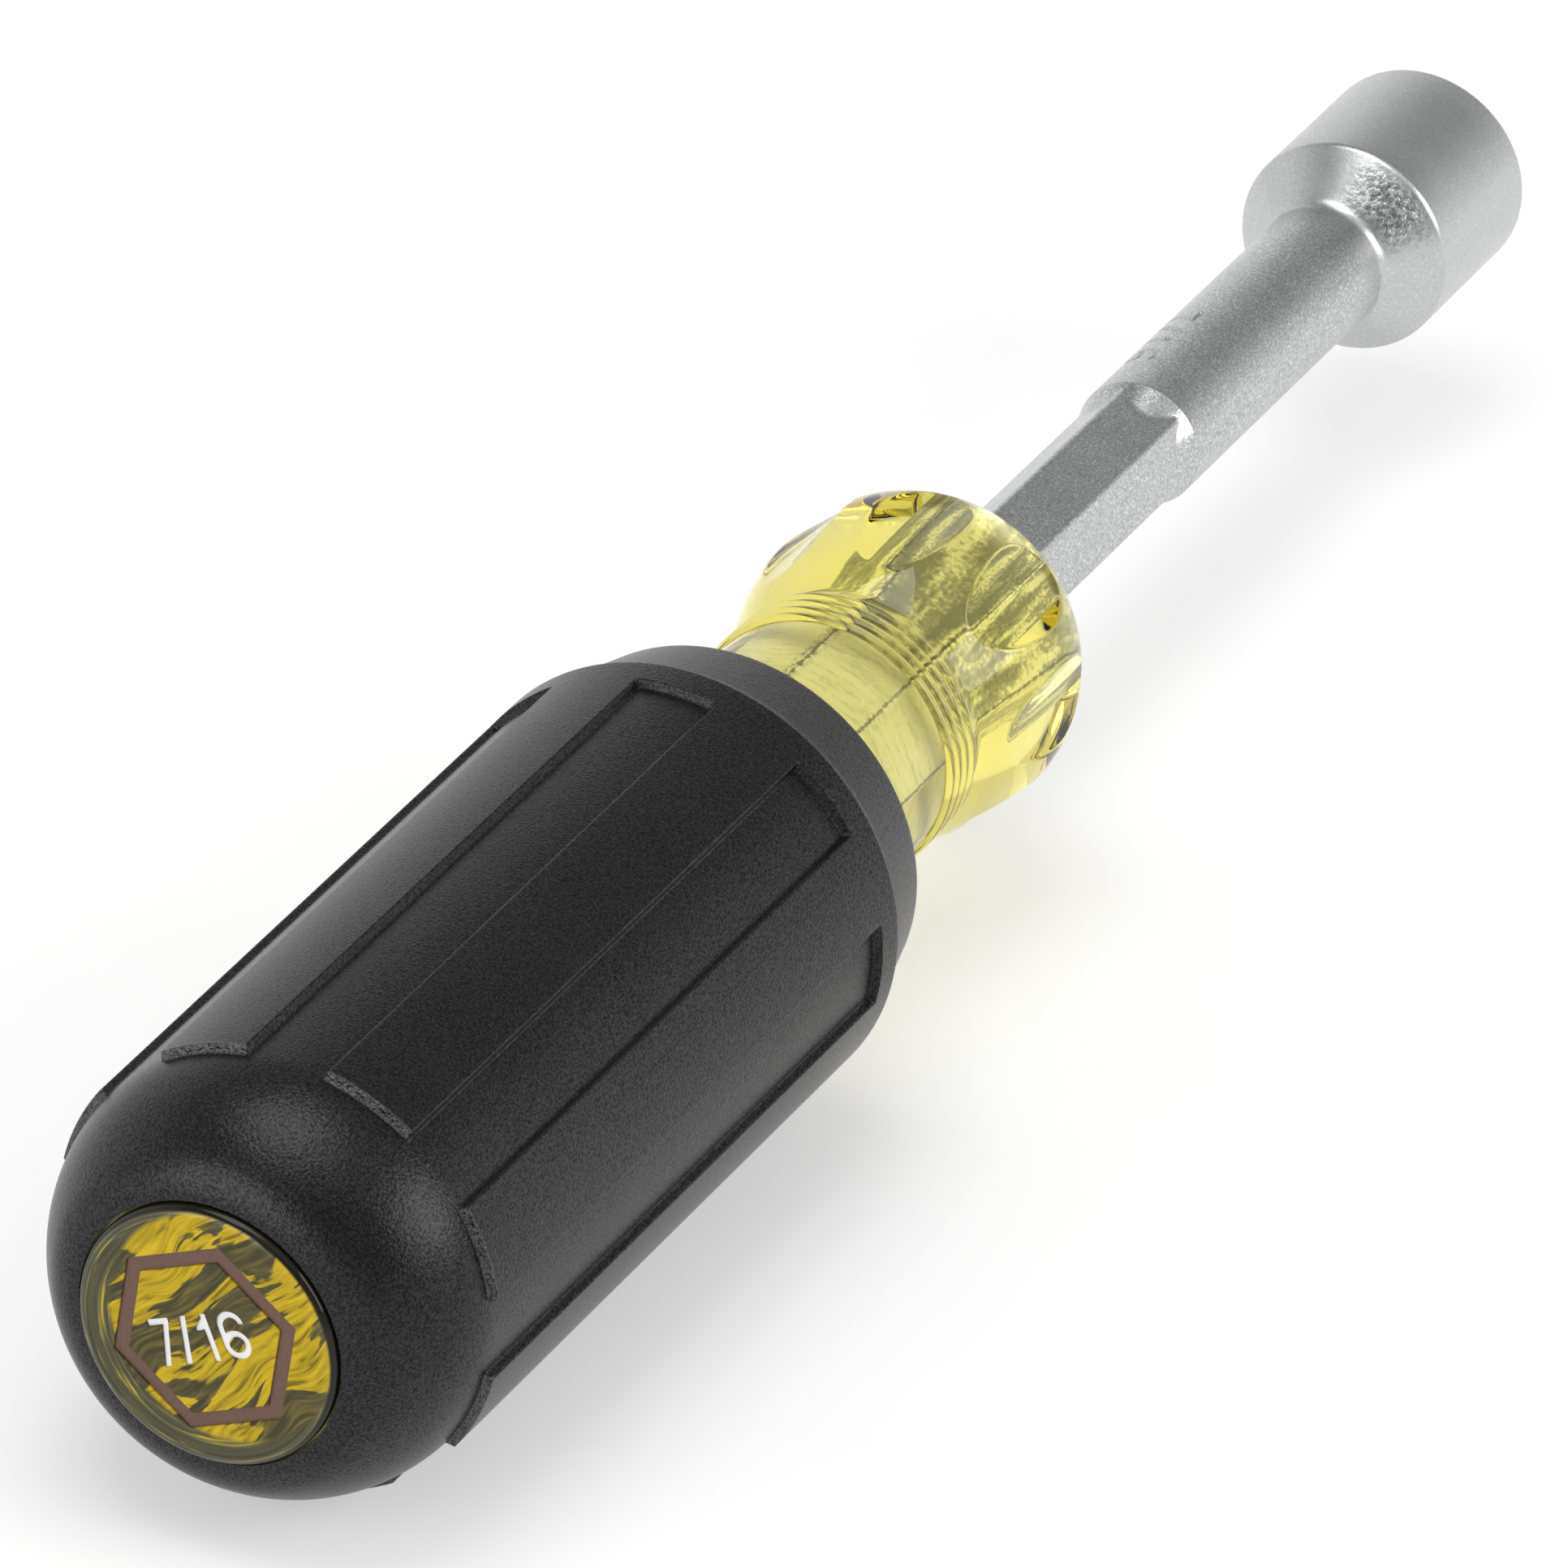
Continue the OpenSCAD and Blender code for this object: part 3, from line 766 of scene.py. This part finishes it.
def shaft_line():
    """Stations and radii of the round steel, from the round shank to the socket's mouth."""
    up = np.linspace(0, math.pi / 4, 12)
    over = np.linspace(math.pi / 4, 0, 12)
    mouth = np.linspace(0, math.pi / 2, 12)
    reach, lift = FILLET_R * math.tan(math.pi / 8), SHOULDER_EDGE_R * math.tan(math.pi / 8)
    shank_z = np.array([138.0, STAMP[0], STAMP[1], 154.0, 158.0, 162.0, 166.0])
    cone = np.array([0.95, 1.75, 2.55])
    socket_z = np.array([173.0, 177.0, 182.0])
    spans = [
        (shank_z, np.full(len(shank_z), SHANK_R)),
        (
            SHOULDER_TOP - reach + FILLET_R * np.sin(up),
            SHANK_R + FILLET_R - FILLET_R * np.cos(up),
        ),
        (SHOULDER_TOP + cone, SHANK_R + cone),
        (
            SHOULDER_FOOT + lift - SHOULDER_EDGE_R * np.sin(over),
            SOCKET_R - SHOULDER_EDGE_R + SHOULDER_EDGE_R * np.cos(over),
        ),
        (socket_z, np.full(len(socket_z), SOCKET_R)),
        (
            TOOL_LENGTH - MOUTH_EDGE_R + MOUTH_EDGE_R * np.sin(mouth),
            SOCKET_R - MOUTH_EDGE_R + MOUTH_EDGE_R * np.cos(mouth),
        ),
    ]
    return [np.concatenate(values) for values in zip(*spans)]


def shaft():
    phi = full_turn()
    bar = soft_min(hexagon(phi, HEX_ACROSS, HEX_CORNER), HEX_EDGE_R, HEX_SOFT)[None, :]
    hex_z = spread((TANG_START, HANDLE_END, 6.0), (HANDLE_END, HEX_END, 6.0))
    # The hexagon runs out into the round shank over a cone
    run_z = spread((132.75, 137.0, 0.06))
    cone = np.interp(run_z, [132.7, 133.2, ROUND_START], [3.4, 3.67, SHANK_R])[:, None]
    run_r = np.minimum(soft_max(bar, cone, RUN_SOFT), SHANK_R)
    line_z, line_r = shaft_line()
    nut_z = np.array(
        [TOOL_LENGTH, 185.6, 185.5, 185.35, 185.2, 185.1, LEAD_START, 184.8, 180.0, NUT_END]
    )
    lead = np.interp(nut_z, [LEAD_START, TOOL_LENGTH], [LEAD_R, LEAD_MOUTH_R])[:, None]
    nut_r = np.maximum(hexagon(phi, NUT_ACROSS, NUT_CORNER)[None, :], lead)
    bore_z = [NUT_END, THROAT_END, THROAT_END, BOLT_END]
    z = np.concatenate([[TANG_START], hex_z, run_z, line_z, nut_z, bore_z])
    r = np.concatenate([
        all_round([1.0], COLUMNS),
        np.repeat(bar, len(hex_z), 0),
        run_r,
        all_round(line_r, COLUMNS),
        nut_r,
        all_round([THROAT_R, THROAT_R, BOLT_R, BOLT_R], COLUMNS),
    ])
    tips = (TANG_START, BOLT_TIP)
    piece = turned(
        "socket_shaft_skin", all_round(z, COLUMNS), r, phi, steel_look, tips, left_out=STAMP
    )
    second_look(piece, bedded_look, HANDLE_END - 0.1)
    return piece


def stamp():
    """The window in the round shank, with the size number pressed into it."""
    strokes = [
        [(0.0, 3.1), (1.3, 3.1), (0.5, 1.8), (0.0, 0.2)],
        [(3.4, 3.1), (1.3, 0.0)],
        [(4.4, 2.5), (5.0, 3.0), (3.7, 0.0)],
        [
            (8.0, 2.9), (7.5, 3.1), (6.9, 2.9), (6.4, 2.3), (6.1, 1.4), (6.2, 0.5),
            (6.7, 0.1), (7.3, 0.3), (7.6, 0.9), (7.4, 1.5), (6.8, 1.6), (6.2, 1.1),
        ],
    ]
    z = np.linspace(STAMP[0], STAMP[1], STAMP_ROWS)
    phi = np.linspace(STAMP[2], STAMP[3], STAMP_COLUMNS)
    along = STAMP_LEFT - z[:, None]
    height = SHANK_R * (phi - STAMP_FOOT)[None, :]
    gap = np.full((STAMP_ROWS, STAMP_COLUMNS), np.inf)
    for stroke in strokes:
        for (ax, ay), (bx, by) in zip(stroke, stroke[1:]):
            dx, dy = bx - ax, by - ay
            t = np.clip(((along - ax) * dx + (height - ay) * dy) / (dx * dx + dy * dy), 0, 1)
            gap = np.minimum(gap, np.hypot(along - ax - t * dx, height - ay - t * dy))
    r = SHANK_R - STAMP_DEPTH * (1 - ramp(0.06, 0.2, gap))
    z = all_round(z, STAMP_COLUMNS)
    return turned("stamped_window", z, r, phi, steel_look, closed=False)


for steel in (shaft(), stamp()):
    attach(steel, "root")
    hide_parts("socket_shaft")


# Stage

FLOOR_HALF = 4
SKY_LEVELS = (
    (0.0, 0.95), (0.2, 0.85), (0.4, 0.58), (0.56, 0.32),
    (0.66, 0.25), (0.76, 0.27), (0.86, 0.5), (1.0, 0.8),
)
SEEN_THROUGH = (0.75, 0.75, 0.75, 1.0)
PHOTO_FOCAL, PHOTO_WIDTH, SENSOR = 16000, 1932, 36.0  # pixels, pixels, millimetres


def floor_look():
    """A pale floor that takes shadows, lifted towards white where it is seen."""
    n = Nodes("pale_floor")
    grain = n.noise(40, 2.0)
    colour = n.ramp(grain, (0.3, (0.6, 0.6, 0.6)), (0.7, (0.62, 0.62, 0.62)))
    shade = n.add("ShaderNodeBsdfDiffuse", {"Color": colour})
    path = n.add("ShaderNodeLightPath").outputs
    mirrored = n.math("MAXIMUM", path["Is Glossy Ray"], path["Is Transmission Ray"])
    seen = n.math("MAXIMUM", path["Is Camera Ray"], mirrored)
    glow = n.add("ShaderNodeEmission", {"Color": (1, 1, 1, 1), "Strength": n.times(seen, 0.42)})
    both = n.add("ShaderNodeAddShader", {0: shade.outputs["BSDF"], 1: glow.outputs["Emission"]})
    n.tree.links.new(both.outputs["Shader"], n.out.inputs["Surface"])
    return n.material


corners = [(x * FLOOR_HALF, y * FLOOR_HALF, 0) for x, y in ((-1, -1), (1, -1), (1, 1), (-1, 1))]
ground = new_piece("floor", corners, [(0, 1, 2, 3)], floor_look(), False)

scene = bpy.context.scene
scene.view_settings.view_transform = "Standard"
world = bpy.data.worlds.new("studio")
world.use_nodes = True
scene.world = world
tree = world.node_tree
height = tree.nodes.new("ShaderNodeVectorMath")
height.operation = "DOT_PRODUCT"
height.inputs[1].default_value = (0.0, -0.25, 0.97)
tree.links.new(tree.nodes.new("ShaderNodeTexCoord").outputs["Generated"], height.inputs[0])
sky = tree.nodes.new("ShaderNodeValToRGB")
tree.links.new(height.outputs["Value"], sky.inputs["Fac"])
marks = sky.color_ramp.elements
for at, level in SKY_LEVELS:
    mark = marks[0] if at == 0.0 else marks[-1] if at == 1.0 else marks.new(at)
    mark.color = (level, level, level, 1.0)
path = tree.nodes.new("ShaderNodeLightPath")
through = tree.nodes.new("ShaderNodeMix")
through.data_type = "RGBA"
tree.links.new(path.outputs["Is Transmission Ray"], through.inputs[0])
tree.links.new(sky.outputs["Color"], through.inputs[6])
through.inputs[7].default_value = SEEN_THROUGH
tree.links.new(through.outputs[2], tree.nodes["Background"].inputs["Color"])


def softbox(name, where, aim, size, power):
    light = bpy.data.lights.new(name, "AREA")
    light.shape = "RECTANGLE"
    light.size, light.size_y = size
    light.energy = power
    lamp = bpy.data.objects.new(name, light)
    scene.collection.objects.link(lamp)
    lamp.location = where
    lamp.rotation_euler = (Vector(aim) - Vector(where)).to_track_quat("-Z", "Y").to_euler()


softbox("overhead", (-0.1, 0.12, 1.1), (0, 0, 0), (0.7, 0.7), 4.3)
softbox("side", (0.25, -0.9, 0.5), (0, 0, 0), (0.7, 0.55), 4.5)
softbox("front", (-0.9, 0.3, 0.35), (0, 0, 0), (0.7, 0.7), 3.5)

# The photo's camera, as solved from its ellipses
lens = bpy.data.cameras.new("photo_camera")
lens.sensor_width = SENSOR
lens.lens = PHOTO_FOCAL / PHOTO_WIDTH * SENSOR
lens.clip_start = 0.05
lens.clip_end = 20.0
camera = bpy.data.objects.new("photo_camera", lens)
scene.collection.objects.link(camera)
right = Vector((0.448766, -0.89175, 0.058237))
up = Vector((0.430382, 0.272779, 0.860444))
away = Vector((-0.783186, -0.361074, 0.506207))
turn = Matrix((right, up, away)).transposed().to_4x4()
camera.matrix_world = Matrix.Translation((-0.69706, -0.315788, 0.458772)) @ turn
scene.camera = camera
